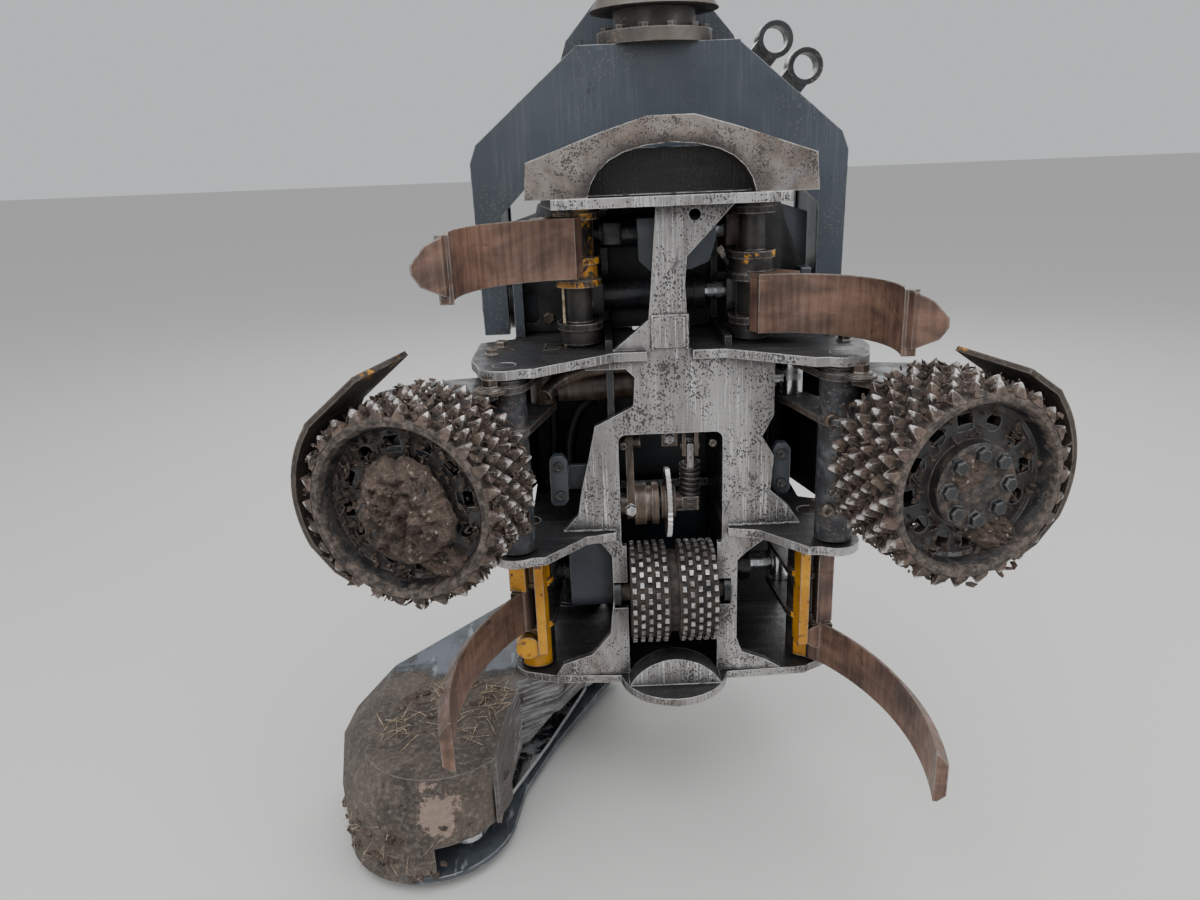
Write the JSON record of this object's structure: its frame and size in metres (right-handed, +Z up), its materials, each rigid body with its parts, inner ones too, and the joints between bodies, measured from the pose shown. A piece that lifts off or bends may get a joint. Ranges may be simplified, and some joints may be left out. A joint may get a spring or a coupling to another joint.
{
  "type": "harvester head",
  "caption": "Felling and processing head that hangs from a crane by a rotator and tilt frame, with delimbing knives, spiked feed rollers and a saw box.",
  "frame": {"origin": "middle of the hanger bore, on the bore's axis, halfway between the rotator's two ears", "axes": "+X along the hanger bore to the right as seen from the log side, +Y to the head's back, +Z up to the crane"},
  "size_m": [1.435, 0.9421, 1.961],
  "materials": {
    "cast": "weathered grey-brown casting",
    "paint": "dark blue-grey enamel",
    "oily": "black, oily",
    "rod": "ground and chromed steel",
    "bare": "paint worn off by logs, scratched bright",
    "knife": "resin-stained steel, worn edges",
    "mud_steel": "steel caked with dried mud"
  },
  "bodies": {
    "rotator": {"rotator_housing": "cast"},
    "tilt_frame": {"rotor_flange": "cast", "tilt_frame": "paint", "hose_guides": "oily"},
    "head": {"face_plate": "bare", "top_plate": "bare", "upper_shelf": "bare", "lower_shelf": "bare", "bottom_plate": "bare", "side_webs": "oily", "pivot_cheeks": "paint", "back_plate": "paint", "bay_covers": "oily", "top_knife": "knife", "valve_block": "oily", "oil_tank": "paint", "saw_motor": "oily", "saw_box": "mud_steel", "measuring_arm": "oily"},
    "tilt_barrel": {"tilt_cylinder_barrel": "oily"},
    "tilt_rod": {"tilt_cylinder_rod": "rod"},
    "front_knife_left": {"front_knife_left": "knife"},
    "front_knife_right": {"front_knife_right": "knife"},
    "front_barrels": {"front_cylinder_barrels": "oily"},
    "front_rods": {"front_cylinder_rods": "rod"},
    "feed_arm_left": {"feed_arm_left": "cast", "roller_guard_left": "mud_steel", "feed_motor_left": "oily"},
    "feed_arm_right": {"feed_arm_right": "cast", "roller_guard_right": "mud_steel", "feed_motor_right": "oily"},
    "feed_roller_left": {"feed_roller_left": "oily"},
    "feed_roller_right": {"feed_roller_right": "oily"},
    "arm_barrel": {"arm_cylinder_barrel": "oily"},
    "arm_rod": {"arm_cylinder_rod": "rod"},
    "rear_knife_left": {"rear_knife_left": "knife"},
    "rear_knife_right": {"rear_knife_right": "knife"},
    "rear_barrel": {"rear_cylinder_barrel": "oily"},
    "rear_rod": {"rear_cylinder_rod": "rod"},
    "fixed_roller": {"fixed_roller": "bare"},
    "measuring_wheel": {"measuring_wheel": "rod"},
    "saw_bar": {"saw_bar": "rod"}
  },
  "joints": [
    {"name": "rotator_turn", "type": "hinge", "parent": "rotator", "child": "tilt_frame", "pos_m": [0, 0, -0.264], "axis": [0, 0, 1], "continuous": true},
    {"name": "frame_tilt", "type": "hinge", "parent": "tilt_frame", "child": "head", "pos_m": [0, 0, -0.845], "axis": [1, 0, 0], "range_deg": [0, 95]},
    {"name": "tilt_barrel_lean", "type": "hinge", "parent": "tilt_frame", "child": "tilt_barrel", "pos_m": [0, 0.06, -0.47], "axis": [1, 0, 0], "range_deg": [0, 19]},
    {"name": "tilt_rod_slide", "type": "slide", "parent": "tilt_barrel", "child": "tilt_rod", "axis": [0, 0.036, 0.9994], "range_m": [0, 0.1758]},
    {"name": "front_knife_left_swing", "type": "hinge", "parent": "head", "child": "front_knife_left", "pos_m": [-0.175, -0.19, -0.76], "axis": [0, 0, 1], "range_deg": [0, 55]},
    {"name": "front_knife_right_swing", "type": "hinge", "parent": "head", "child": "front_knife_right", "pos_m": [0.175, -0.19, -0.76], "axis": [0, 0, -1], "range_deg": [0, 55]},
    {"name": "front_barrels_turn", "type": "hinge", "parent": "front_knife_left", "child": "front_barrels", "pos_m": [-0.16178, -0.09592, -0.755], "axis": [0, 0, -1], "range_deg": [0, 55]},
    {"name": "front_rods_slide", "type": "slide", "parent": "front_barrels", "child": "front_rods", "axis": [1, 0, 0], "range_m": [0, 0.1655]},
    {"name": "feed_arm_left_swing", "type": "hinge", "parent": "head", "child": "feed_arm_left", "pos_m": [-0.32, -0.35, -1.1], "axis": [0, 0, 1], "range_deg": [0, 55]},
    {"name": "feed_arm_right_swing", "type": "hinge", "parent": "head", "child": "feed_arm_right", "pos_m": [0.32, -0.35, -1.1], "axis": [0, 0, -1], "range_deg": [0, 55]},
    {"name": "arm_barrel_turn", "type": "hinge", "parent": "feed_arm_left", "child": "arm_barrel", "pos_m": [-0.25994, -0.18499, -0.99], "axis": [0, 0, -1], "range_deg": [0, 55]},
    {"name": "arm_rod_slide", "type": "slide", "parent": "arm_barrel", "child": "arm_rod", "axis": [1, 0, 0], "range_m": [0, 0.3216]},
    {"name": "feed_roller_left_spin", "type": "hinge", "parent": "feed_arm_left", "child": "feed_roller_left", "pos_m": [-0.46, -0.545, -1.08], "axis": [-0.2588, -0.9659, 0], "continuous": true},
    {"name": "feed_roller_right_spin", "type": "hinge", "parent": "feed_arm_right", "child": "feed_roller_right", "pos_m": [0.46, -0.545, -1.08], "axis": [0.2588, -0.9659, 0], "continuous": true},
    {"name": "rear_knife_left_swing", "type": "hinge", "parent": "head", "child": "rear_knife_left", "pos_m": [-0.305, -0.2, -1.48], "axis": [0, 0, 1], "range_deg": [0, 55]},
    {"name": "rear_knife_right_swing", "type": "hinge", "parent": "head", "child": "rear_knife_right", "pos_m": [0.305, -0.2, -1.48], "axis": [0, 0, -1], "range_deg": [0, 55]},
    {"name": "rear_barrel_turn", "type": "hinge", "parent": "rear_knife_left", "child": "rear_barrel", "pos_m": [-0.27381, -0.05328, -1.48], "axis": [0, 0, -1], "range_deg": [0, 55]},
    {"name": "rear_rod_slide", "type": "slide", "parent": "rear_barrel", "child": "rear_rod", "axis": [1, 0, 0], "range_m": [0, 0.267]},
    {"name": "fixed_roller_spin", "type": "hinge", "parent": "head", "child": "fixed_roller", "pos_m": [0, -0.252, -1.445], "axis": [1, 0, 0], "continuous": true},
    {"name": "measuring_wheel_spin", "type": "hinge", "parent": "head", "child": "measuring_wheel", "pos_m": [0, -0.236, -1.244], "axis": [1, 0, 0], "continuous": true},
    {"name": "saw_swing", "type": "hinge", "parent": "head", "child": "saw_bar", "pos_m": [-0.23, 0.075, -1.855], "axis": [0, 0, 1], "range_deg": [0, 85]}
  ],
  "couplings": [
    {"joint": "tilt_barrel_lean", "follows": "frame_tilt", "ratio": 0.2},
    {"joint": "tilt_rod_slide", "follows": "frame_tilt", "m_per_rad": 0.106},
    {"joint": "front_knife_right_swing", "follows": "front_knife_left_swing", "ratio": 1},
    {"joint": "front_barrels_turn", "follows": "front_knife_left_swing", "ratio": 1},
    {"joint": "front_rods_slide", "follows": "front_knife_left_swing", "m_per_rad": 0.1723},
    {"joint": "feed_arm_right_swing", "follows": "feed_arm_left_swing", "ratio": 1},
    {"joint": "arm_barrel_turn", "follows": "feed_arm_left_swing", "ratio": 1},
    {"joint": "arm_rod_slide", "follows": "feed_arm_left_swing", "m_per_rad": 0.33498},
    {"joint": "rear_knife_right_swing", "follows": "rear_knife_left_swing", "ratio": 1},
    {"joint": "rear_barrel_turn", "follows": "rear_knife_left_swing", "ratio": 1},
    {"joint": "rear_rod_slide", "follows": "rear_knife_left_swing", "m_per_rad": 0.27812}
  ]
}
